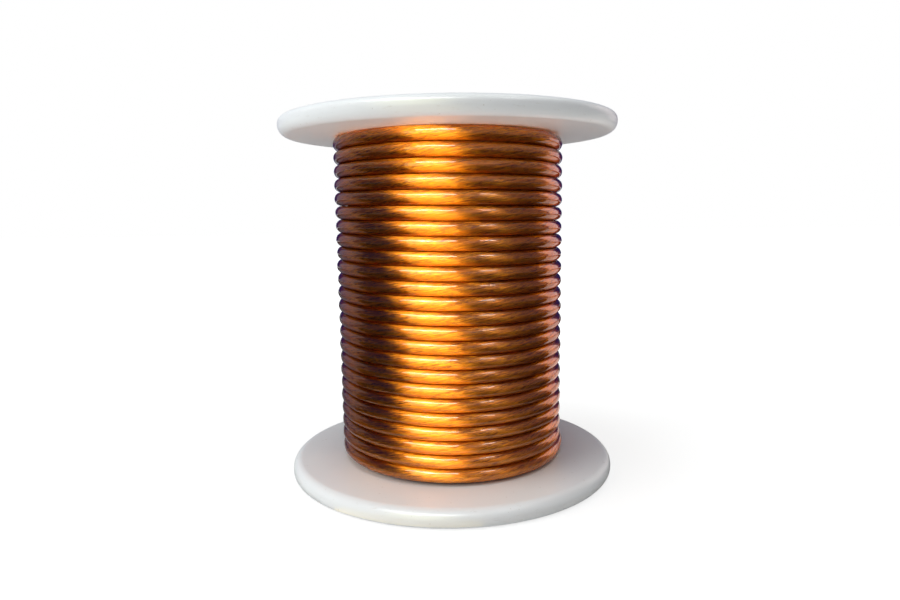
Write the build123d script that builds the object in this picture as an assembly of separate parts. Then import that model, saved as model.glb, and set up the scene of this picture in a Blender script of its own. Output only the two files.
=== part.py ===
from build123d import *
import math
import os

# Wire spool: two moulded flanges and a barrel on an arbor tube, wound with film-wrapped litz
# wire. All lengths are in millimetres. The origin is the centre of the lower flange's outer
# face, +Z runs up the arbor, and the wire's two ends are at the back of the spool, on +Y.

# Flanges. Both are the same moulding, and the upper one is turned over.
flange_radius = 62.5
flange_thickness = 6.4
flange_web = 3.2            # plate left behind the recess of the outer face
flange_spacing = 121.2      # between the two inner faces, the room for wire
inner_edge_radius = 3.5     # rounding of the rim on the wire's side
outer_edge_radius = 2.4     # rounding of the rim on the outer side
rim_width = 5.5
rib_count = 12
rib_thickness = 2.0
rib_setback = 0.4           # ribs, ring and hub lie this much below the rim
ring_wall = 2.5
spigot_wall = 2.5
spigot_height = 4.0

# Barrel and arbor tube
barrel_radius = 29.0
barrel_wall = 2.5
arbor_bore_radius = 8.0
arbor_wall = 2.2
arbor_setback = 0.5         # the arbor tube ends this much below each rim
arbor_chamfer = 0.8
hub_wall = 3.3
hub_height = 4.0            # of the sleeve that grips the arbor tube inside the barrel

# Wire and how it is laid
wire_diameter = 5.0
layer_count = 3
layer_nesting = 0.9         # rise of a layer on the one below it, in wire diameters
side_fall = 0.15            # fall from the side of a turn to its front, in pitches
side_slope = 0.5            # slope of a turn at its front and sides, in pitches a turn
lead_angle = 105.0          # of the lead hole, in degrees from +X on the lower flange
lead_stand = 1.0            # the start lead stands this much out of the web
bared_length = 3.0          # strands that stand out of the film at a cut end

# The end of the last turn: it steps up onto the outer layer and slants back over it.
tail_leaves = 0.20          # of a turn, from the front of the last turn
tail_lands = 0.35
tail_slants = 0.43
tail_taped = 0.62
tail_ends = 0.67
tail_angle = 7.9            # of its slant, in degrees upwards
tape_width = 19.0
tape_thickness = 0.4
tape_below = 10.5           # reach of the strip below the wire's end and above it
tape_above = 25.0
tape_spread = 0.9           # slant of the strip beside the wire, for each unit it stands off
tape_bend = 2.0

# Clearances
press_clearance = 0.1       # round the spigots and the arbor tube
soft_clearance = 0.3        # between a winding or tape and what it lies on
turn_gap = 0.45             # between the turns of the outer layer
lead_clearance = 0.35       # round the start lead in its hole

# Sizes that follow from those above
overall_height = flange_spacing + 2 * flange_thickness
upper_face = flange_thickness + flange_spacing
recess_depth = flange_thickness - flange_web
rim_inner_radius = flange_radius - rim_width
barrel_inner_radius = barrel_radius - barrel_wall
spigot_radius = barrel_inner_radius - press_clearance
ring_radius = barrel_radius - barrel_wall / 2
arbor_radius = arbor_bore_radius + arbor_wall
hub_hole_radius = arbor_radius + press_clearance
hub_radius = hub_hole_radius + hub_wall

layer_rise = layer_nesting * wire_diameter
first_layer_radius = barrel_radius + wire_diameter / 2
winding_radius = first_layer_radius + (layer_count - 1) * layer_rise + wire_diameter / 2
turn_count = int(flange_spacing // wire_diameter)
wound_pitches = turn_count - 1 + 2 * side_fall
winding_room = flange_spacing - 2 * soft_clearance
turn_pitch = (winding_room + turn_gap) / (wound_pitches + 1)
tube_diameter = turn_pitch - turn_gap
tube_radius = tube_diameter / 2
outer_layer_radius = winding_radius - tube_radius
under_layer_radius = outer_layer_radius - layer_rise
core_radius = outer_layer_radius - tube_radius - soft_clearance
top_turn_height = upper_face - soft_clearance - tube_radius
last_turn_height = top_turn_height - wound_pitches * turn_pitch
last_front = turn_count - 0.5    # turns from the start to the front of the last turn
tail_radius = outer_layer_radius + tube_diameter + turn_gap
lead_radius = wire_diameter / 2
lead_hole_radius = lead_radius + lead_clearance
bared_radius = tube_radius - soft_clearance

BASE = (Align.CENTER, Align.CENTER, Align.MIN)


def tube(outer_radius, inner_radius, length):
    """A straight tube on the Z axis that stands on z = 0."""
    return Cylinder(outer_radius, length, align=BASE) - Cylinder(inner_radius, length, align=BASE)


def flange():
    """A flange as it lies at the bottom, ribbed below and plain above, with its lead hole."""
    plate = Cylinder(flange_radius, flange_thickness, align=BASE)
    plate = fillet(plate.edges().group_by(Axis.Z)[-1], inner_edge_radius)
    plate = fillet(plate.edges().group_by(Axis.Z)[0], outer_edge_radius)
    plate -= Cylinder(rim_inner_radius, recess_depth, align=BASE)
    body_height = recess_depth - rib_setback
    raised = Pos(0, 0, rib_setback)
    plate += raised * tube(ring_radius, ring_radius - ring_wall, body_height)
    plate += raised * ribs(ring_radius, rim_inner_radius, rib_count)
    plate += raised * ribs(hub_radius, ring_radius - ring_wall, rib_count // 2)
    plate += raised * Cylinder(hub_radius, flange_thickness + hub_height - rib_setback, align=BASE)
    spigot = tube(spigot_radius, spigot_radius - spigot_wall, spigot_height)
    plate += Pos(0, 0, flange_thickness) * spigot
    plate -= Cylinder(hub_hole_radius, flange_thickness + hub_height, align=BASE)
    lead_hole = Cylinder(lead_hole_radius, flange_thickness, align=BASE)
    return plate - Rot(0, 0, lead_angle) * Pos(first_layer_radius, 0, 0) * lead_hole


def ribs(inner_radius, outer_radius, count):
    """Radial ribs that reach from one ring of the flange into the next."""
    overlap = rib_thickness / 2
    length = outer_radius - inner_radius + 2 * overlap
    height = recess_depth - rib_setback
    rib = Pos(inner_radius - overlap, 0, 0) * Box(
        length, rib_thickness, height, align=(Align.MIN, Align.CENTER, Align.MIN))
    return Part() + [Rot(0, 0, 360 * step / count) * rib for step in range(count)]


def turned_over(shape):
    """The same moulding at the top of the spool, with its outer face up."""
    return Pos(0, 0, overall_height) * Rot(0, 180, 0) * shape


def arbor_tube():
    """The tube that holds both hubs in line and takes the spindle."""
    shape = tube(arbor_radius, arbor_bore_radius, overall_height - 2 * arbor_setback)
    mouths = shape.edges().filter_by(GeomType.CIRCLE).sort_by(SortBy.RADIUS)[:2]
    return Pos(0, 0, arbor_setback) * chamfer(mouths, arbor_chamfer)


def turn_angle(turn):
    """Degrees from +X. Turns count from the back, and run left, front, right."""
    return 90 + 360 * turn


def place(turn, radius, height):
    """A point of the winding."""
    angle = math.radians(turn_angle(turn))
    return Vector(radius * math.cos(angle), radius * math.sin(angle), height)


def heading(turn, rise=0.0):
    """The direction of the wire there, with its rise for each unit that it runs round."""
    angle = math.radians(turn_angle(turn))
    return Vector(-math.sin(angle), math.cos(angle), rise).normalized()


def fall(turn):
    """How far the wire has come down after so many turns, in pitches, at a quarter turn.

    It falls slowly from the left side over the front to the right side, makes up the rest
    of its pitch by the back, and runs level from there to the left side."""
    whole, quarter = divmod(round(4 * turn), 4)
    return whole + (0, 0, side_fall, 2 * side_fall)[quarter]


def outer_layer_stations():
    """Points of the outer layer with the wire's direction there, from its start to its end."""
    run = 2 * math.pi * outer_layer_radius
    side_rise = -side_slope * turn_pitch / run
    start = place(0, under_layer_radius, top_turn_height)
    stations = [(start + heading(0) * tube_diameter, heading(0))]
    for step in range(1, 4 * turn_count - 1):
        turn = step / 4
        height = top_turn_height - fall(turn) * turn_pitch
        rise = 0.0 if step % 4 == 0 else side_rise
        stations.append((place(turn, outer_layer_radius, height), heading(turn, rise)))
    return start, stations + tail_stations()


def tail_height(past_front):
    """Height of the wire's end, so far past the front of the last turn."""
    slanted = (tail_slants - tail_lands) / 2 + past_front - tail_slants
    run = 2 * math.pi * tail_radius * slanted
    return last_turn_height + run * math.tan(math.radians(tail_angle))


def tail_stations():
    """The step up onto the outer layer at the last turn's side, and the slant over it."""
    rise = math.tan(math.radians(tail_angle))
    leaves = last_front + tail_leaves
    lands = last_front + tail_lands
    stations = [
        (place(leaves, outer_layer_radius, last_turn_height), heading(leaves)),
        (place(lands, tail_radius, last_turn_height), heading(lands)),
    ]
    for past_front in (tail_slants, tail_taped, tail_ends):
        turn = last_front + past_front
        point = place(turn, tail_radius, tail_height(past_front))
        stations.append((point, heading(turn, rise)))
    return stations


def biarc(start, start_heading, end, end_heading):
    """Two arcs that leave one station along its direction and reach the next along its own."""
    chord = end - start
    both = start_heading + end_heading
    square = 2 * (start_heading.dot(end_heading) - 1)
    linear = -2 * chord.dot(both)
    constant = chord.dot(chord)
    if abs(square) < 1e-9:
        reach = -constant / linear
    else:
        root = math.sqrt(linear * linear - 4 * square * constant)
        reach = (-linear - root) / (2 * square)
    middle = (start + end + (start_heading - end_heading) * reach) / 2
    first = Edge.make_tangent_arc(start, start_heading, middle)
    second = Edge.make_tangent_arc(middle, first % 1, end)
    return [first, second]


def outer_layer_path():
    """Straight start, the turns and tail on biarcs, and a straight end."""
    start, stations = outer_layer_stations()
    edges = [Edge.make_line(start, stations[0][0])]
    for (point, direction), (next_point, next_direction) in zip(stations, stations[1:]):
        edges += biarc(point, direction, next_point, next_direction)
    end, direction = stations[-1]
    edges.append(Edge.make_line(end, end + direction * tube_diameter))
    return edges


def least_gap(edges):
    """Least distance between the surfaces of two stretches of one tube, measured on points.

    Points within a quarter turn of each other along the tube aren't compared."""
    steps = 12
    points = [edge @ (step / steps) for edge in edges for step in range(steps)]
    runs = [edge.length / steps for edge in edges for _ in range(steps)]
    travelled = [0.0]
    for run in runs:
        travelled.append(travelled[-1] + run)
    quarter_turn = math.pi * outer_layer_radius / 2
    least = math.inf
    for first, point in enumerate(points):
        for second in range(first + 1, len(points)):
            if travelled[second] - travelled[first] > quarter_turn:
                least = min(least, (points[second] - point).length)
    return least - tube_diameter


def wound_tube(edges):
    """The outer layer of turns as one unbroken tube."""
    section = Plane(origin=edges[0] @ 0, z_dir=edges[0] % 0) * Circle(tube_radius)
    return sweep(section, path=Wire(edges))


def inner_layers():
    """The layers under the outer one, relieved where the wire climbs out from among them.

    It climbs within the first quarter turn, from the back."""
    length = flange_spacing - 2 * soft_clearance
    core = tube(core_radius, barrel_radius + soft_clearance, length)
    core = Pos(0, 0, flange_thickness + soft_clearance) * core
    floor = under_layer_radius - tube_radius - soft_clearance
    depth = tube_diameter + 2 * soft_clearance
    width = core_radius - floor + soft_clearance
    section = Plane.XZ * Pos(floor, upper_face - depth) * Rectangle(
        width, depth, align=(Align.MIN, Align.MIN))
    relief = revolve(section, axis=Axis.Z, revolution_arc=90)
    return core - Rot(0, 0, turn_angle(0)) * relief


def start_lead():
    """The wire's inner end, cut off short above the upper flange's web."""
    length = flange_web + soft_clearance + lead_stand
    lead = Cylinder(lead_radius, length, align=BASE)
    return Pos(0, 0, upper_face - soft_clearance) * lead_place() * lead


def lead_place():
    """Where the upper flange's lead hole is, seen from above."""
    return Rot(0, 0, 180 - lead_angle) * Pos(first_layer_radius, 0, 0)


def start_strands():
    """The bared strands at the wire's inner end."""
    top = upper_face + flange_web + lead_stand
    length = recess_depth - lead_stand - soft_clearance
    return Pos(0, 0, top) * lead_place() * Cylinder(bared_radius, length, align=BASE)


def finish_strands(edges):
    """The bared strands at the wire's outer end."""
    end = Plane(origin=edges[-1] @ 1, z_dir=edges[-1] % 1)
    return end * Cylinder(bared_radius, bared_length, align=BASE)


def finish_tape():
    """A strip of tape, stuck to the turns above and below the wire's end, and over it."""
    half = tape_thickness / 2
    pad = winding_radius + soft_clearance + half
    crown = tail_radius + tube_radius + soft_clearance + half
    shoulder = tube_radius + tape_spread * (crown - pad)
    line = FilletPolyline(
        (pad, -tape_below),
        (pad, -shoulder),
        (crown, -tube_radius),
        (crown, tube_radius),
        (pad, shoulder),
        (pad, tape_above),
        radius=tape_bend)
    section = Plane.XZ * Pos(0, tail_height(tail_taped)) * trace(line, tape_thickness)
    width = math.degrees(tape_width / winding_radius)
    middle = turn_angle(last_front + tail_taped)
    return Rot(0, 0, middle - width / 2) * revolve(section, Axis.Z, width)


def main():
    os.makedirs("parts", exist_ok=True)
    edges = outer_layer_path()
    moulding = flange()
    nodes = {
        "lower_flange": moulding,
        "upper_flange": turned_over(moulding),
        "barrel": Pos(0, 0, flange_thickness) * tube(
            barrel_radius, barrel_inner_radius, flange_spacing),
        "arbor_tube": arbor_tube(),
        "wire_inner_layers": inner_layers(),
        "wire_outer_layer": wound_tube(edges),
        "start_lead": start_lead(),
        "start_strands": start_strands(),
        "finish_strands": finish_strands(edges),
        "finish_tape": finish_tape(),
    }
    for name, shape in nodes.items():
        export_step(shape, f"parts/{name}.step")
    radii = [edge.radius for edge in edges if edge.geom_type == GeomType.CIRCLE]
    length = sum(edge.length for edge in edges)
    swept = nodes["wire_outer_layer"].volume / (math.pi * tube_radius ** 2)
    print(f"turns {turn_count}, pitch {turn_pitch:.3f}, tube {tube_diameter:.3f}")
    print(f"least gap of the outer layer to itself {least_gap(edges):.3f}")
    print(f"tightest arc {min(radii):.1f}, tube length {length:.1f}, by volume {swept:.1f}")


main()
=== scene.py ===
import math

import bpy
import numpy as np
from mathutils import Matrix, Vector


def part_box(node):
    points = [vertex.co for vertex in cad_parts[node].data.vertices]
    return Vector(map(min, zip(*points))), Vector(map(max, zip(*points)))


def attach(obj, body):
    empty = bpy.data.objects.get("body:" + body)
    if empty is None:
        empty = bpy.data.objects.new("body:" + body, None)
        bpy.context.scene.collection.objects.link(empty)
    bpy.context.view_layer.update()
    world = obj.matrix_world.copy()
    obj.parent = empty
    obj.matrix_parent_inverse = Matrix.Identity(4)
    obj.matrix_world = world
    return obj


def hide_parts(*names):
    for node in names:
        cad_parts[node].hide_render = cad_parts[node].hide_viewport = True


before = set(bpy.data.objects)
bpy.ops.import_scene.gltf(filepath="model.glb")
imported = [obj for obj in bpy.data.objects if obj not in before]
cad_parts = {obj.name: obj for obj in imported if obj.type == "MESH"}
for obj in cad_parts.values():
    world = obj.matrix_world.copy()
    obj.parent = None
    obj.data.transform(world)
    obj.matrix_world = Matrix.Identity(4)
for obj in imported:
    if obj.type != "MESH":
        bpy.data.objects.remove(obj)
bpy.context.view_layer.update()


# ---------------------------------------------------------------- barrel
# The drum that the wire is wound on. It is a tube of the same ABS as the flanges, pushed onto
# a spigot of each. The wire hides it, so its finish is plain: fine extruding lines along it.

def put(tree, kind, inputs=None, **settings):
    """Adds a shader node. Each input is a value, or another node's output to link."""
    node = tree.nodes.new(kind)
    for name, value in settings.items():
        setattr(node, name, value)
    for name, value in (inputs or {}).items():
        if isinstance(value, bpy.types.NodeSocket):
            tree.links.new(value, node.inputs[name])
        else:
            node.inputs[name].default_value = value
    return node


def finish(name, **values):
    """A material and its tree, with these values on its Principled shader's sockets."""
    material = bpy.data.materials.new(name)
    material.use_nodes = True
    shader = material.node_tree.nodes["Principled BSDF"]
    for socket, value in values.items():
        shader.inputs[socket.replace("_", " ")].default_value = value
    return material, material.node_tree, shader


def noise(tree, place, stretch, detail=2.0, roughness=0.5):
    """Noise with so many waves to the metre along each axis of place."""
    spread = put(tree, "ShaderNodeVectorMath", {0: place, 1: stretch}, operation="MULTIPLY")
    texture = put(tree, "ShaderNodeTexNoise", {
        "Vector": spread.outputs["Vector"], "Scale": 1.0, "Detail": detail,
        "Roughness": roughness})
    return texture.outputs["Fac"]


def between(tree, amount, low, high, start=0.0, end=1.0):
    """A number that runs from start to end as amount runs from low to high."""
    return put(tree, "ShaderNodeMapRange", {
        "Value": amount, "From Min": low, "From Max": high, "To Min": start, "To Max": end},
        interpolation_type="SMOOTHSTEP").outputs["Result"]


def blend(tree, amount, first, second):
    """The colour that lies so far from the first to the second."""
    mix = put(tree, "ShaderNodeMix", {"Factor": amount}, data_type="RGBA")
    for socket, colour in ((mix.inputs[6], first), (mix.inputs[7], second)):
        if isinstance(colour, bpy.types.NodeSocket):
            tree.links.new(colour, socket)
        else:
            socket.default_value = (*colour, 1.0)
    return mix.outputs[2]


def relief(tree, height, depth, under=None):
    """The surface normal over such a height, which is depth metres from 0 to 1."""
    inputs = {"Height": height, "Distance": depth}
    if under is not None:
        inputs["Normal"] = under
    return put(tree, "ShaderNodeBump", inputs).outputs["Normal"]


def dress(node, material):
    """Gives a CAD piece its finish."""
    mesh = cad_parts[node].data
    mesh.materials.clear()
    mesh.materials.append(material)


def extruded_plastic(name, shade, roughness):
    """Tube pulled through a die, with fine lines along Z."""
    material, tree, shader = finish(name, Roughness=roughness)
    place = put(tree, "ShaderNodeTexCoord").outputs["Object"]
    lines = noise(tree, place, (1800.0, 1800.0, 12.0), detail=3.0)
    clouds = noise(tree, place, (60.0, 60.0, 30.0))
    pale = tuple(channel * 1.04 for channel in shade)
    tree.links.new(blend(tree, clouds, shade, pale), shader.inputs["Base Color"])
    rough = between(tree, lines, 0.3, 0.7, roughness * 0.85, roughness * 1.2)
    tree.links.new(rough, shader.inputs["Roughness"])
    tree.links.new(relief(tree, lines, 0.00003), shader.inputs["Normal"])
    return material


dress("barrel", extruded_plastic("barrel_plastic", (0.80, 0.80, 0.79), 0.35))
upper_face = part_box("barrel")[1].z      # the upper flange's inner face


# ---------------------------------------------------------------- flanges
# Two identical mouldings in white ABS, polished in the mould, with a soft round rim. Ribs and
# rings stiffen the outer faces. Handling leaves the rims with faint scuffs.

def polished_plastic():
    material, tree, shader = finish("flange_plastic", Roughness=0.2, IOR=1.52)
    place = put(tree, "ShaderNodeTexCoord").outputs["Object"]
    apart = put(tree, "ShaderNodeSeparateXYZ", {"Vector": place})
    flat = put(tree, "ShaderNodeCombineXYZ", {
        "X": apart.outputs["X"], "Y": apart.outputs["Y"]})
    radius = put(tree, "ShaderNodeVectorMath", {0: flat.outputs["Vector"]}, operation="LENGTH")

    clouds = noise(tree, place, (28.0, 28.0, 28.0), detail=3.0)
    colour = blend(tree, clouds, (0.850, 0.864, 0.868), (0.892, 0.906, 0.910))
    specks = between(tree, noise(tree, place, (900.0,) * 3, detail=1.0), 0.74, 0.80)
    colour = blend(tree, specks, colour, (0.70, 0.69, 0.67))

    near_rim = between(tree, radius.outputs["Value"], 0.0585, 0.0615)
    scratches = noise(tree, place, (260.0, 260.0, 1500.0), detail=4.0, roughness=0.7)
    worn = between(tree, scratches, 0.60, 0.72)
    scuffs = put(tree, "ShaderNodeMath", {0: near_rim, 1: worn}, operation="MULTIPLY")
    colour = blend(tree, scuffs.outputs["Value"], colour, (0.78, 0.775, 0.765))
    tree.links.new(colour, shader.inputs["Base Color"])

    haze = between(tree, noise(tree, place, (90.0,) * 3, detail=4.0), 0.35, 0.7, 0.29, 0.36)
    rough = put(tree, "ShaderNodeMath", {
        0: scuffs.outputs["Value"], 1: 0.16, 2: haze}, operation="MULTIPLY_ADD")
    tree.links.new(rough.outputs["Value"], shader.inputs["Roughness"])

    peel = noise(tree, place, (330.0,) * 3, detail=1.0)
    normal = relief(tree, peel, 0.000006)
    normal = relief(tree, scuffs.outputs["Value"], -0.00001, under=normal)
    tree.links.new(normal, shader.inputs["Normal"])
    return material


flange_finish = polished_plastic()
for flange in ("lower_flange", "upper_flange"):
    dress(flange, flange_finish)


# ---------------------------------------------------------------- arbor tube
# The tube through both hubs that a spindle runs in. It is extruded in a greyer, harder plastic
# and pressed in. Spindles have rubbed its mouths, but its finish here is the plain extruded one.

dress("arbor_tube", extruded_plastic("arbor_plastic", (0.70, 0.70, 0.69), 0.28))


# ---------------------------------------------------------------- inner layers of wire
# The same wire as outside, 5 mm thick, wound on the barrel before it. Its second layer climbs
# to the upper flange. It shows only where the wire steps out of it, behind.

WIRE_RADIUS = 0.00249       # of the film-wrapped wire, half the pitch, so the turns touch
PITCH = 0.004981
TURNS = 24
NESTING = 0.9               # rise of a layer on the one below it, in wire diameters
OUTER_CENTRE = 0.0405       # radius of the outer layer's centre line
UNDER_CENTRE = OUTER_CENTRE - NESTING * 2 * WIRE_RADIUS
TOP_TURN = upper_face - 0.00257      # height of the top turn's centre line
STRAND_LAY = 0.080          # the strands go once round the wire in this length
BUNDLES = 7                 # of strands, twisted together
BUNDLE_DEPTH = 0.00006      # how far the valleys between them lie below the film's crests
BACK = math.pi / 2          # turns are counted from the back of the spool


def film_over_strands():
    """Fine copper strands that shine through a tight, clear amber film."""
    material, tree, shader = finish(
        "wrapped_wire", Metallic=1.0, Roughness=0.5, Anisotropic=1.0,
        Coat_Weight=0.75, Coat_Roughness=0.01, Coat_IOR=1.65,
        Specular_Tint=(0.25, 0.16, 0.14, 1.0))
    strand = put(tree, "ShaderNodeAttribute", attribute_name="strand").outputs["Vector"]
    fibres = noise(tree, strand, (2400.0, 2400.0, 420.0), detail=4.0, roughness=0.7)
    tufts = noise(tree, strand, (1400.0, 1400.0, 75.0), detail=3.0)
    clouds = noise(tree, strand, (350.0, 350.0, 45.0))

    # Painted shade between the strands: the copper is darker where the fibres noise is low, and the
    # same noise sinks the surface there.
    copper = blend(tree, between(tree, fibres, 0.30, 0.72), (0.26, 0.060, 0.018), (1.0, 0.388, 0.016))
    copper = blend(tree, between(tree, tufts, 0.35, 0.75), copper, (0.92, 0.28, 0.02))
    amber = blend(tree, between(tree, clouds, 0.3, 0.7), (0.86, 0.80, 0.72), (1.0, 1.0, 1.0))
    film = put(tree, "ShaderNodeMix", {"Factor": 1.0}, data_type="RGBA", blend_type="MULTIPLY")
    tree.links.new(copper, film.inputs[6])
    tree.links.new(amber, film.inputs[7])
    tree.links.new(film.outputs[2], shader.inputs["Base Color"])

    rough = between(tree, fibres, 0.25, 0.75, 0.36, 0.42)
    tree.links.new(rough, shader.inputs["Roughness"])
    normal = relief(tree, tufts, 0.00040)
    tree.links.new(relief(tree, fibres, 0.00004, under=normal), shader.inputs["Normal"])
    wrinkles = noise(tree, strand, (500.0, 500.0, 110.0), detail=1.0)
    tree.links.new(relief(tree, wrinkles, 0.000008), shader.inputs["Coat Normal"])

    across = put(tree, "ShaderNodeAttribute", attribute_name="across").outputs["Vector"]
    tree.links.new(across, shader.inputs["Tangent"])
    return material


def wound_wire(name, path, material, segments, radius=WIRE_RADIUS, turn_rings=None):
    """A wire along a path of points, with its twisted bundles as low ridges.

    It keeps two vectors at each vertex for its finish: the place along and round its strands,
    and the direction across them. Where rings to the turn are given, each turn has a strip
    of the texture map."""
    path = np.asarray(path)
    steps = np.diff(path, axis=0)
    along = np.concatenate([[0.0], np.cumsum(np.linalg.norm(steps, axis=1))])
    forward = np.gradient(path, along, axis=0)
    forward /= np.linalg.norm(forward, axis=1, keepdims=True)
    out = path * (1.0, 1.0, 0.0)
    out -= forward * np.sum(out * forward, axis=1, keepdims=True)
    out /= np.linalg.norm(out, axis=1, keepdims=True)
    up = np.cross(forward, out)

    around = 2 * math.pi * np.arange(segments) / segments
    twist = around[None, :] + 2 * math.pi * along[:, None] / STRAND_LAY
    valleys = 1 - np.abs(np.cos(BUNDLES * twist / 2)) ** 0.7
    distance = radius - BUNDLE_DEPTH * valleys
    outward = (np.cos(around)[None, :, None] * out[:, None, :]
               + np.sin(around)[None, :, None] * up[:, None, :])
    points = path[:, None, :] + distance[:, :, None] * outward

    round_about = np.cross(np.broadcast_to(forward[:, None, :], outward.shape), outward)
    slant = 2 * math.pi * radius / STRAND_LAY
    across = round_about + slant * forward[:, None, :]
    across /= np.linalg.norm(across, axis=2, keepdims=True)
    strand = np.stack([
        radius * np.cos(twist), radius * np.sin(twist),
        np.broadcast_to(along[:, None], twist.shape)], axis=2)

    rings = len(path)
    ring = np.arange(rings - 1)[:, None] * segments
    side = np.arange(segments)[None, :]
    following = (side + 1) % segments
    corners = np.stack([
        ring + side, ring + following,
        ring + segments + following, ring + segments + side], axis=2).reshape(-1, 4)
    caps = [list(range(segments))[::-1], [(rings - 1) * segments + n for n in range(segments)]]

    mesh = bpy.data.meshes.new(name)
    mesh.from_pydata(points.reshape(-1, 3).tolist(), [], corners.tolist() + caps)
    mesh.shade_smooth()
    for label, values in (("strand", strand), ("across", across)):
        layer = mesh.attributes.new(label, "FLOAT_VECTOR", "POINT")
        layer.data.foreach_set("vector", values.reshape(-1).astype(np.float32))
    if turn_rings:
        lay_flat(mesh, rings, segments, turn_rings)
    mesh.materials.append(material)
    piece = bpy.data.objects.new(name, mesh)
    bpy.context.scene.collection.objects.link(piece)
    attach(piece, "root")
    return piece


def lay_flat(mesh, rings, segments, turn_rings):
    """A texture map with one strip for each turn of the wire, one above the other."""
    step = np.arange(rings - 1)
    turn = step // turn_rings
    strips = turn[-1] + 2
    start = (step - turn * turn_rings) / turn_rings
    end = start + 1 / turn_rings
    side = np.arange(segments)
    low = (turn[:, None] + 0.02 + 0.96 * side[None, :] / segments) / strips
    high = (turn[:, None] + 0.02 + 0.96 * (side[None, :] + 1) / segments) / strips
    start = np.broadcast_to(start[:, None], low.shape)
    end = np.broadcast_to(end[:, None], low.shape)
    corners = np.stack([
        np.stack([start, low], -1), np.stack([start, high], -1),
        np.stack([end, high], -1), np.stack([end, low], -1)], axis=2)
    turned = 2 * math.pi * side / segments
    cap = np.stack([np.cos(turned), np.sin(turned)], -1) * 0.4 / strips
    caps = [cap[::-1] + (0.05, 1 - 0.5 / strips), cap + (0.15, 1 - 0.5 / strips)]
    layer = mesh.uv_layers.new(name="OFBake")
    values = np.concatenate([corners.reshape(-1, 2), *caps])
    layer.uv.foreach_set("vector", values.reshape(-1).astype(np.float32))


def around_spool(turn, radius, height):
    """Points so many turns from the back of the spool, round by the left and the front."""
    angle = BACK + 2 * math.pi * turn
    return np.stack([radius * np.cos(angle), radius * np.sin(angle), height], axis=-1)


wire_finish = film_over_strands()
under_turns = np.arange(0, TURNS + 1e-9, 1 / 60)
under_path = around_spool(
    under_turns, np.full_like(under_turns, UNDER_CENTRE),
    TOP_TURN - (TURNS - 1 - np.clip(under_turns - 1, 0, None)) * PITCH)
inner_layers = wound_wire("wire_inner_layers_wound", under_path, wire_finish, 12)
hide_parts("wire_inner_layers")


# ---------------------------------------------------------------- outer layer of wire
# One length of litz wire: fine copper strands twisted in bundles, wrapped in clear amber film.
# It steps out of the layer below at the back and winds down in 24 turns that touch. Its end
# steps up onto the last turns and slants back over them, behind.

TURN_RINGS = 120
FRONT_FALL = 0.15           # fall from a turn's side to its front, in pitches
SIDE_SLOPE = 0.5            # of a turn at its front and sides, in pitches a turn
PUSHED_TURNS = 5            # the first turns are pushed up to the flange in front
TAIL_CENTRE = OUTER_CENTRE + 2 * WIRE_RADIUS
LAST_FRONT = TURNS - 0.5
TAIL_LEAVES, TAIL_LANDS, TAIL_SLANTS, TAIL_ENDS = 0.20, 0.35, 0.43, 0.67
STRAIGHT_END = 0.0158       # of a turn, one diameter long
TAIL_ANGLE = math.radians(7.9)
STEP_UP = 0.25              # of a turn, from the layer below to this one
WANDER = 0.00008            # of a turn, in and out
WANDER_EACH = 0.31          # of a turn, from one change to the next
SMOOTHING = 15              # rings


def eased(share, start, end, start_slope=0.0, end_slope=0.0):
    """A smooth curve from start to end, with those slopes, as share runs from 0 to 1."""
    square, cube = share ** 2, share ** 3
    return (start * (2 * cube - 3 * square + 1) + start_slope * (cube - 2 * square + share)
            + end * (3 * square - 2 * cube) + end_slope * (cube - square))


def fall(turn):
    """How far the wire has come down, in pitches. It runs level from the back to the left,
    sinks slowly over the front to the right, and makes up its pitch from there. The first
    turns don't sink so far, as the winder pushed them up."""
    whole = np.floor(turn)
    quarter, share = np.divmod((turn - whole) * 4, 1.0)
    lean = SIDE_SLOPE / 4
    stretches = [
        eased(share, 0.0, 0.0, 0.0, lean),
        eased(share, 0.0, FRONT_FALL, lean, lean),
        eased(share, FRONT_FALL, 2 * FRONT_FALL, lean, lean),
        eased(share, 2 * FRONT_FALL, 1.0, lean, 0.0),
    ]
    part = np.choose(quarter.astype(int), stretches)
    pushed = np.minimum(part, FRONT_FALL) * (1 - part) / (1 - FRONT_FALL)
    pushed *= np.clip(1 - (turn - 0.5) / PUSHED_TURNS, 0, 1)
    return whole + part - pushed


def outer_layer_path():
    turn = np.arange(0, LAST_FRONT + TAIL_ENDS + STRAIGHT_END, 1 / TURN_RINGS)
    past = turn - LAST_FRONT
    sinking = np.clip(past / TAIL_LEAVES, 0, 1)
    low = LAST_FRONT - 0.5 + 2 * FRONT_FALL
    settled = eased(sinking, low - FRONT_FALL, low, SIDE_SLOPE * TAIL_LEAVES, 0.0)
    height = TOP_TURN - np.where(past < 0, fall(turn), settled) * PITCH
    bend = TAIL_SLANTS - TAIL_LANDS
    slanted = np.clip(past - TAIL_LANDS, 0, bend) ** 2 / (2 * bend)
    slanted += np.clip(past - TAIL_SLANTS, 0, None)
    height += 2 * math.pi * TAIL_CENTRE * slanted * math.tan(TAIL_ANGLE)
    radius = eased(np.clip(turn / STEP_UP, 0, 1), UNDER_CENTRE, OUTER_CENTRE)
    stepping = np.clip((past - TAIL_LEAVES) / (TAIL_LANDS - TAIL_LEAVES), 0, 1)
    radius += eased(stepping, 0.0, TAIL_CENTRE - OUTER_CENTRE)

    # No winding is perfect: the turns stand in and out by a tenth of a millimetre or so.
    chance = np.random.default_rng(24)
    knots = np.arange(0, turn[-1] + 1, WANDER_EACH)
    wander = np.interp(turn, knots, chance.normal(0, WANDER, len(knots)))
    smooth = np.hanning(2 * SMOOTHING + 1)
    smooth /= smooth.sum()
    radius += np.convolve(np.pad(wander, SMOOTHING, mode="edge"), smooth, mode="valid")
    return around_spool(turn, radius, height)


outer_path = outer_layer_path()
outer_layer = wound_wire(
    "wire_outer_layer_wound", outer_path, wire_finish, 32, turn_rings=TURN_RINGS)
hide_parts("wire_outer_layer")


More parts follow.
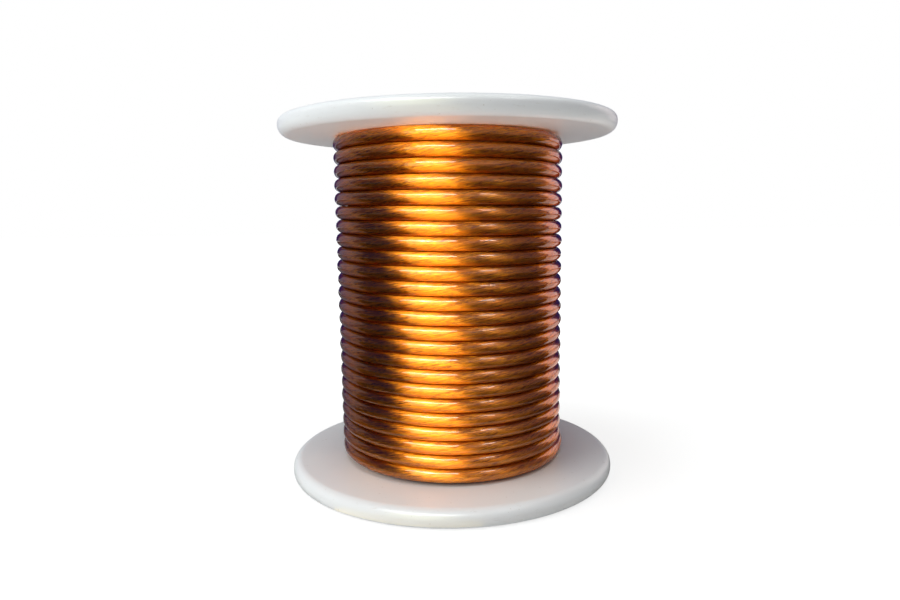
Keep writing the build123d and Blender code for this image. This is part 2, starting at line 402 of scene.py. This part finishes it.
# ---------------------------------------------------------------- start lead
# The wire's inner end, brought out through the upper flange's lead hole and cut short, so that
# it stays below the rim. The film is stripped from its last 2 mm.

def bare_copper():
    """Cut copper strands, a little dulled, with faint drawing lines."""
    material, tree, shader = finish("bare_copper", Metallic=1.0, Roughness=0.3)
    place = put(tree, "ShaderNodeTexCoord").outputs["Object"]
    tarnish = between(tree, noise(tree, place, (1400.0,) * 3, detail=3.0), 0.35, 0.7)
    colour = blend(tree, tarnish, (0.90, 0.47, 0.30), (0.55, 0.24, 0.13))
    tree.links.new(colour, shader.inputs["Base Color"])
    tree.links.new(between(tree, tarnish, 0.0, 1.0, 0.24, 0.42), shader.inputs["Roughness"])
    lines = noise(tree, place, (9000.0, 9000.0, 900.0))
    tree.links.new(relief(tree, lines, 0.00001), shader.inputs["Normal"])
    return material


def strand_bundle(name, base, direction, length, radius, material):
    """Fine strands side by side in a round bundle, cut to slightly different lengths."""
    STRAND_RADIUS, SPACING, SIDES, RINGS = 0.00019, 0.00041, 8, 5
    direction = np.asarray(direction) / np.linalg.norm(direction)
    side = np.cross(direction, (0.3, 0.2, 1.0) if abs(direction[2]) < 0.9 else (1.0, 0.0, 0.0))
    side /= np.linalg.norm(side)
    other = np.cross(direction, side)
    chance = np.random.default_rng(7)
    points, faces = [], []
    rows = int(radius / SPACING) + 1
    for row in range(-rows, rows + 1):
        for column in range(-rows, rows + 1):
            x = (column + (row % 2) / 2) * SPACING
            y = row * SPACING * math.sqrt(3) / 2
            if math.hypot(x, y) > radius - STRAND_RADIUS:
                continue
            lean = chance.normal(0, 0.00004, 2)
            reach = length * chance.uniform(0.82, 1.0)
            first = len(points)
            for ring in range(RINGS):
                share = ring / (RINGS - 1)
                cx, cy = x + lean[0] * share ** 2, y + lean[1] * share ** 2
                for corner in range(SIDES):
                    turned = 2 * math.pi * corner / SIDES
                    points.append(base + direction * reach * share
                                  + side * (cx + STRAND_RADIUS * math.cos(turned))
                                  + other * (cy + STRAND_RADIUS * math.sin(turned)))
            for ring in range(RINGS - 1):
                for corner in range(SIDES):
                    a = first + ring * SIDES + corner
                    b = first + ring * SIDES + (corner + 1) % SIDES
                    faces.append((a, b, b + SIDES, a + SIDES))
            faces.append([first + corner for corner in range(SIDES)][::-1])
            faces.append([first + (RINGS - 1) * SIDES + corner for corner in range(SIDES)])
    mesh = bpy.data.meshes.new(name)
    mesh.from_pydata([tuple(point) for point in points], [], faces)
    mesh.materials.append(material)
    piece = bpy.data.objects.new(name, mesh)
    bpy.context.scene.collection.objects.link(piece)
    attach(piece, "root")
    return piece


lead_low, lead_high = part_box("start_lead")
lead_centre = (lead_low + lead_high) / 2
rise = np.linspace(lead_low.z, lead_high.z, 14)
lead_path = np.stack([
    np.full_like(rise, lead_centre.x), np.full_like(rise, lead_centre.y), rise], axis=1)
start_lead = wound_wire("start_lead_wrapped", lead_path, wire_finish, 32)
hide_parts("start_lead")

copper = bare_copper()
low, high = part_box("start_strands")
start_strands = strand_bundle(
    "start_strands_cut", lead_path[-1], (0, 0, 1), high.z - low.z, (high.x - low.x) / 2, copper)
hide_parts("start_strands")


# ---------------------------------------------------------------- outer end of the wire
# The wire's other cut end, behind, with 3 mm of its copper strands bared. It lies on the last
# turns, just past the tape that holds it.

BARED = 0.003
finish_strands = strand_bundle(
    "finish_strands_cut", outer_path[-1], outer_path[-1] - outer_path[-2], BARED,
    (high.x - low.x) / 2, copper)
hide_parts("finish_strands")


# ---------------------------------------------------------------- tape
# A 19 mm strip of creped paper tape that holds the wire's end down. It is torn off on a toothed
# blade, pressed onto the crests of the turns and over the slanting end.

TAPE_WIDTH = 0.019
TAPE_OFF_WIRE = 0.00012     # its glue, and half its thickness
TAPE_THICKNESS = 0.00014
TAPE_SAG = 0.00022          # between two crests
TOOTH, TOOTH_DEPTH = 0.0012, 0.0005
CREPE, CREPE_DEPTH = 0.0009, 0.00003


def creped_paper():
    material, tree, shader = finish(
        "creped_paper", Roughness=0.78, Specular_IOR_Level=0.3)
    place = put(tree, "ShaderNodeTexCoord").outputs["Object"]
    creases = noise(tree, place, (260.0, 260.0, 1900.0), detail=3.0)
    fibres = noise(tree, place, (2500.0, 2500.0, 700.0), detail=3.0)
    stains = noise(tree, place, (130.0,) * 3)
    # Painted shade in the creases: the paper is darker where the creases noise is low, and the same
    # noise sinks the surface there.
    colour = blend(tree, between(tree, creases, 0.3, 0.7), (0.60, 0.47, 0.27), (0.78, 0.66, 0.43))
    colour = blend(tree, between(tree, stains, 0.45, 0.75, 0.0, 0.5), colour, (0.62, 0.45, 0.24))
    colour = blend(tree, between(tree, fibres, 0.62, 0.75, 0.0, 0.5), colour, (0.86, 0.78, 0.60))
    tree.links.new(colour, shader.inputs["Base Color"])
    rough = between(tree, creases, 0.3, 0.7, 0.86, 0.68)
    tree.links.new(rough, shader.inputs["Roughness"])
    normal = relief(tree, creases, 0.00006)
    tree.links.new(relief(tree, fibres, 0.00001, under=normal), shader.inputs["Normal"])
    return material


def tape_strip():
    """The strip's mesh: rows up the winding, columns across the tape's width."""
    low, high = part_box("finish_tape")
    middle = math.atan2((low.y + high.y) / 2, (low.x + high.x) / 2)
    columns, rows = 49, 180
    winding_radius = OUTER_CENTRE + WIRE_RADIUS
    angle = middle + np.linspace(-0.5, 0.5, columns) * TAPE_WIDTH / winding_radius
    turn = (angle - BACK) / (2 * math.pi)
    path_turn = np.arange(len(outer_path)) / TURN_RINGS
    path_radius = np.hypot(outer_path[:, 0], outer_path[:, 1])
    across = np.arange(columns) * TAPE_WIDTH / (columns - 1)
    tooth = np.abs((across / TOOTH) % 1.0 - 0.5) * 2 * TOOTH_DEPTH
    share = np.linspace(0, 1, rows)[:, None]
    height = (low.z + tooth) + share * (high.z - low.z - 2 * tooth)

    chance = np.random.default_rng(19)
    shift = np.cumsum(chance.normal(0, 0.25, columns))
    radius = np.empty_like(height)
    for column in range(columns):
        crossings = np.arange(TURNS) + turn[column]
        crest_height = np.interp(crossings, path_turn, outer_path[:, 2])[::-1]
        crest_radius = np.interp(crossings, path_turn, path_radius)[::-1] + WIRE_RADIUS
        z = height[:, column]
        between_crests = (z - crest_height[0]) / PITCH
        lies = np.interp(z, crest_height, crest_radius) + TAPE_OFF_WIRE
        lies -= TAPE_SAG * (1 - np.cos(2 * math.pi * between_crests)) / 2
        past = (LAST_FRONT + 0.5 + turn[column])
        end_height = np.interp(past, path_turn, outer_path[:, 2])
        end_radius = np.interp(past, path_turn, path_radius)
        beside = np.abs(z - end_height)
        wraps = WIRE_RADIUS + TAPE_OFF_WIRE
        over = end_radius + np.where(
            beside < wraps * math.sqrt(0.5),
            np.sqrt(np.maximum(wraps ** 2 - beside ** 2, 0)),
            wraps * math.sqrt(2) - beside)
        radius[:, column] = np.maximum(lies, over)
        wave = 2 * math.pi * z / CREPE + 1.2 * np.sin(2 * math.pi * z / 0.0047) + shift[column]
        radius[:, column] += CREPE_DEPTH * np.sin(wave)
    points = np.stack([radius * np.cos(angle), radius * np.sin(angle), height], axis=-1)
    faces = []
    for row in range(rows - 1):
        for column in range(columns - 1):
            first = row * columns + column
            faces.append((first, first + 1, first + columns + 1, first + columns))
    mesh = bpy.data.meshes.new("finish_tape_strip")
    mesh.from_pydata(points.reshape(-1, 3).tolist(), [], faces)
    mesh.shade_smooth()
    mesh.materials.append(creped_paper())
    strip = bpy.data.objects.new("finish_tape_strip", mesh)
    bpy.context.scene.collection.objects.link(strip)
    thick = strip.modifiers.new("thickness", "SOLIDIFY")
    thick.thickness = TAPE_THICKNESS
    thick.offset = 1.0
    return strip


tape = tape_strip()
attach(tape, "root")
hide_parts("finish_tape")


# ---------------------------------------------------------------- camera
# A short lens about a quarter of a metre from the spool's axis. It stands level with the upper
# part of the winding, looks a little down, and leans slightly.

LENS = 27.43
LENS_RISE = 0.016           # of the frame's width
CAMERA_PLACE = (0.0, -0.2665, 0.0998)
LOOKS_DOWN = 0.1484         # radians
LEANS = -0.0138

right = Vector((1, 0, 0))
forward = Vector((0, math.cos(LOOKS_DOWN), -math.sin(LOOKS_DOWN)))
upward = right.cross(forward)
leaned = right * math.cos(LEANS) + upward * math.sin(LEANS)
axes = Matrix((leaned, leaned.cross(forward), -forward)).transposed()
camera = bpy.data.objects.new("camera", bpy.data.cameras.new("camera"))
camera.data.lens = LENS
camera.data.sensor_width = 36.0
camera.data.shift_y = LENS_RISE
camera.data.clip_start = 0.01
camera.matrix_world = Matrix.Translation(CAMERA_PLACE) @ axes.to_4x4()
bpy.context.scene.collection.objects.link(camera)
bpy.context.scene.camera = camera


# ---------------------------------------------------------------- studio
# A white floor and backdrop, with two large soft lamps for the white flanges. The small panels,
# the dark flags all round and the cards on the table are seen by gloss alone, and give the wire
# its glow, its white streaks and its dark sides.

def toward(azimuth, elevation, distance, centre=(0.0, 0.0, 0.06)):
    """A place round the spool. Azimuth 0 is in front of it and 90 degrees is on its right."""
    a, e = math.radians(azimuth), math.radians(elevation)
    way = Vector((math.sin(a) * math.cos(e), -math.cos(a) * math.cos(e), math.sin(e)))
    return Vector(centre) + way * distance, way


# Two of the panels light the top turns too, which the upper flange would keep in its shadow.
all_but_flange = bpy.data.collections.new("all_but_flange")
all_but_flange.objects.link(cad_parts["upper_flange"])
all_but_flange.collection_objects[0].light_linking.link_state = "EXCLUDE"


def lamp(name, azimuth, elevation, distance, size, radiance, colour=(1, 1, 1),
         diffuse=True, glossy=True, flange_shades=True):
    """A flat panel lamp that faces the spool, as bright as its radiance says."""
    data = bpy.data.lights.new(name, "AREA")
    data.shape = "RECTANGLE"
    data.size, data.size_y = size
    data.energy = radiance * math.pi * size[0] * size[1]
    data.color = colour
    panel = bpy.data.objects.new(name, data)
    place, way = toward(azimuth, elevation, distance)
    panel.location = place
    panel.rotation_euler = way.to_track_quat("Z", "Y").to_euler()
    panel.visible_camera = False
    panel.visible_glossy = glossy
    panel.visible_diffuse = diffuse
    if not flange_shades:
        panel.light_linking.blocker_collection = all_but_flange
    bpy.context.scene.collection.objects.link(panel)
    return panel


lamp("soft_box", -21, 18, 0.7, (0.48, 0.50), 3.7, colour=(1.0, 0.97, 0.42), diffuse=False,
     flange_shades=False)
lamp("upper_box", -13, 46, 0.7, (0.38, 0.13), 17.0, diffuse=False,
     flange_shades=False)
lamp("strip_lamp", -40, 48, 0.6, (0.26, 0.20), 8.5, diffuse=False)
lamp("right_panel", 34, 28, 0.7, (0.40, 0.24), 0.7, diffuse=False)
lamp("small_lamp", 46, 46, 0.6, (0.14, 0.07), 14.0, diffuse=False)
lamp("right_top", 85, 65, 0.7, (0.40, 0.30), 1.6, diffuse=False)
lamp("pink_panel", 127, 16, 0.7, (0.32, 0.42), 1.4, colour=(1.0, 0.88, 0.82), diffuse=False)
lamp("left_panel", -126, 18, 0.7, (0.50, 0.44), 0.32, diffuse=False)
lamp("key_left", -66, 24, 1.2, (1.0, 0.8), 3.25, colour=(0.96, 1.0, 0.995), glossy=False)
lamp("key_top", -20, 84, 1.0, (0.5, 0.5), 6.4, colour=(0.96, 1.0, 0.995), glossy=False)

def looked_at(tree):
    """1 where a surface is seen, plainly or in gloss or through clear parts, and 0 where it
    only lights the others."""
    seen = put(tree, "ShaderNodeLightPath")
    shown = put(tree, "ShaderNodeMath", {
        0: seen.outputs["Is Camera Ray"], 1: seen.outputs["Is Glossy Ray"]},
        operation="MAXIMUM")
    shown = put(tree, "ShaderNodeMath", {
        0: shown.outputs["Value"], 1: seen.outputs["Is Transmission Ray"]},
        operation="MAXIMUM")
    return shown.outputs["Value"]


BACKDROP_LIGHT = 0.30       # the backdrop's share of the light on the spool

world = bpy.data.worlds.new("studio")
world.use_nodes = True
tree = world.node_tree
strength = put(tree, "ShaderNodeMapRange", {
    "Value": looked_at(tree), "To Min": BACKDROP_LIGHT, "To Max": 1.0})
tree.links.new(strength.outputs["Result"], tree.nodes["Background"].inputs["Strength"])
tree.nodes["Background"].inputs["Color"].default_value = (1, 1, 1, 1)
world.cycles.sampling_method = "NONE"
bpy.context.scene.world = world


def stage_mesh(name, points, faces, material):
    mesh = bpy.data.meshes.new(name)
    mesh.from_pydata(points, [], faces)
    mesh.materials.append(material)
    piece = bpy.data.objects.new(name, mesh)
    bpy.context.scene.collection.objects.link(piece)
    return piece


def floor_finish():
    """White paper that glows to the backdrop's white and keeps the spool's shadow."""
    material = bpy.data.materials.new("white_paper")
    material.use_nodes = True
    tree = material.node_tree
    tree.nodes.remove(tree.nodes["Principled BSDF"])
    plain = put(tree, "ShaderNodeBsdfDiffuse", {"Color": (0.82, 0.82, 0.82, 1)})
    shade = put(tree, "ShaderNodeBsdfDiffuse", {"Color": (0.35, 0.35, 0.35, 1)})
    place = put(tree, "ShaderNodeTexCoord").outputs["Object"]
    away = put(tree, "ShaderNodeVectorMath", {0: place}, operation="LENGTH")
    brightness = between(tree, away.outputs["Value"], 0.07, 0.35, 0.74, 1.0)
    glow = put(tree, "ShaderNodeEmission", {"Strength": brightness})
    both = put(tree, "ShaderNodeAddShader", {
        0: shade.outputs["BSDF"], 1: glow.outputs["Emission"]})
    mix = put(tree, "ShaderNodeMixShader", {
        0: looked_at(tree), 1: plain.outputs["BSDF"], 2: both.outputs["Shader"]})
    tree.links.new(mix.outputs["Shader"], tree.nodes["Material Output"].inputs["Surface"])
    material.cycles.emission_sampling = "NONE"
    return material


FLOOR_REACH = 3.0
floor_corners = [
    (x * FLOOR_REACH, y * FLOOR_REACH, 0) for x, y in ((-1, -1), (1, -1), (1, 1), (-1, 1))]
stage_mesh("floor", floor_corners, [(0, 1, 2, 3)], floor_finish())


def flag_finish(name, shade):
    material = bpy.data.materials.new(name)
    material.use_nodes = True
    tree = material.node_tree
    tree.nodes.remove(tree.nodes["Principled BSDF"])
    glow = put(tree, "ShaderNodeEmission", {"Color": (*shade, 1)})
    tree.links.new(glow.outputs["Emission"], tree.nodes["Material Output"].inputs["Surface"])
    material.cycles.emission_sampling = "NONE"
    return material


def flag(name, radius, azimuths, elevations, shade):
    """A curved card round the spool, of one shade, that only gloss sees."""
    points, faces = [], []
    columns = np.linspace(*azimuths, 37)
    rows = np.linspace(*elevations, 13)
    for elevation in rows:
        for azimuth in columns:
            points.append(toward(azimuth, elevation, radius, (0, 0, 0))[0])
    for row in range(len(rows) - 1):
        for column in range(len(columns) - 1):
            first = row * len(columns) + column
            faces.append((first, first + 1, first + len(columns) + 1, first + len(columns)))
    card = stage_mesh(name, points, faces, flag_finish(name, shade))
    for kind in ("camera", "diffuse", "transmission", "shadow", "volume_scatter"):
        setattr(card, f"visible_{kind}", False)
    return card


FLAG_RADIUS = 1.4
FLAG_HEIGHTS = (0.2, 88)    # in degrees of elevation
flag("left_flag", FLAG_RADIUS, (-180, -48), FLAG_HEIGHTS, (0.026, 0.026, 0.16))
flag("right_flag", FLAG_RADIUS, (-48, 146), FLAG_HEIGHTS, (0.17, 0.13, 0.24))
flag("back_flag", FLAG_RADIUS, (146, 180), FLAG_HEIGHTS, (0.03, 0.03, 0.16))


def table_card(name, height, reach, azimuths, shade):
    """A flag laid flat on the table, up to its reach from the spool's axis."""
    card = flag(name, reach, azimuths, (8, 88), shade)
    for vertex in card.data.vertices:
        vertex.co.z = height
    return card


table_card("dark_table", 0.0008, 1.0, (-180, 180), (0.025, 0.02, 0.03))
table_card("table_glow", 0.0012, 0.6, (-40, 9), (2.2, 1.6, 0.33))
table_card("table_pink", 0.0012, 0.6, (110, 144), (1.2, 1.06, 1.0))
table_card("table_left", 0.0012, 0.6, (-152, -98), (0.26, 0.25, 0.28))

bpy.context.scene.view_settings.view_transform = "Standard"
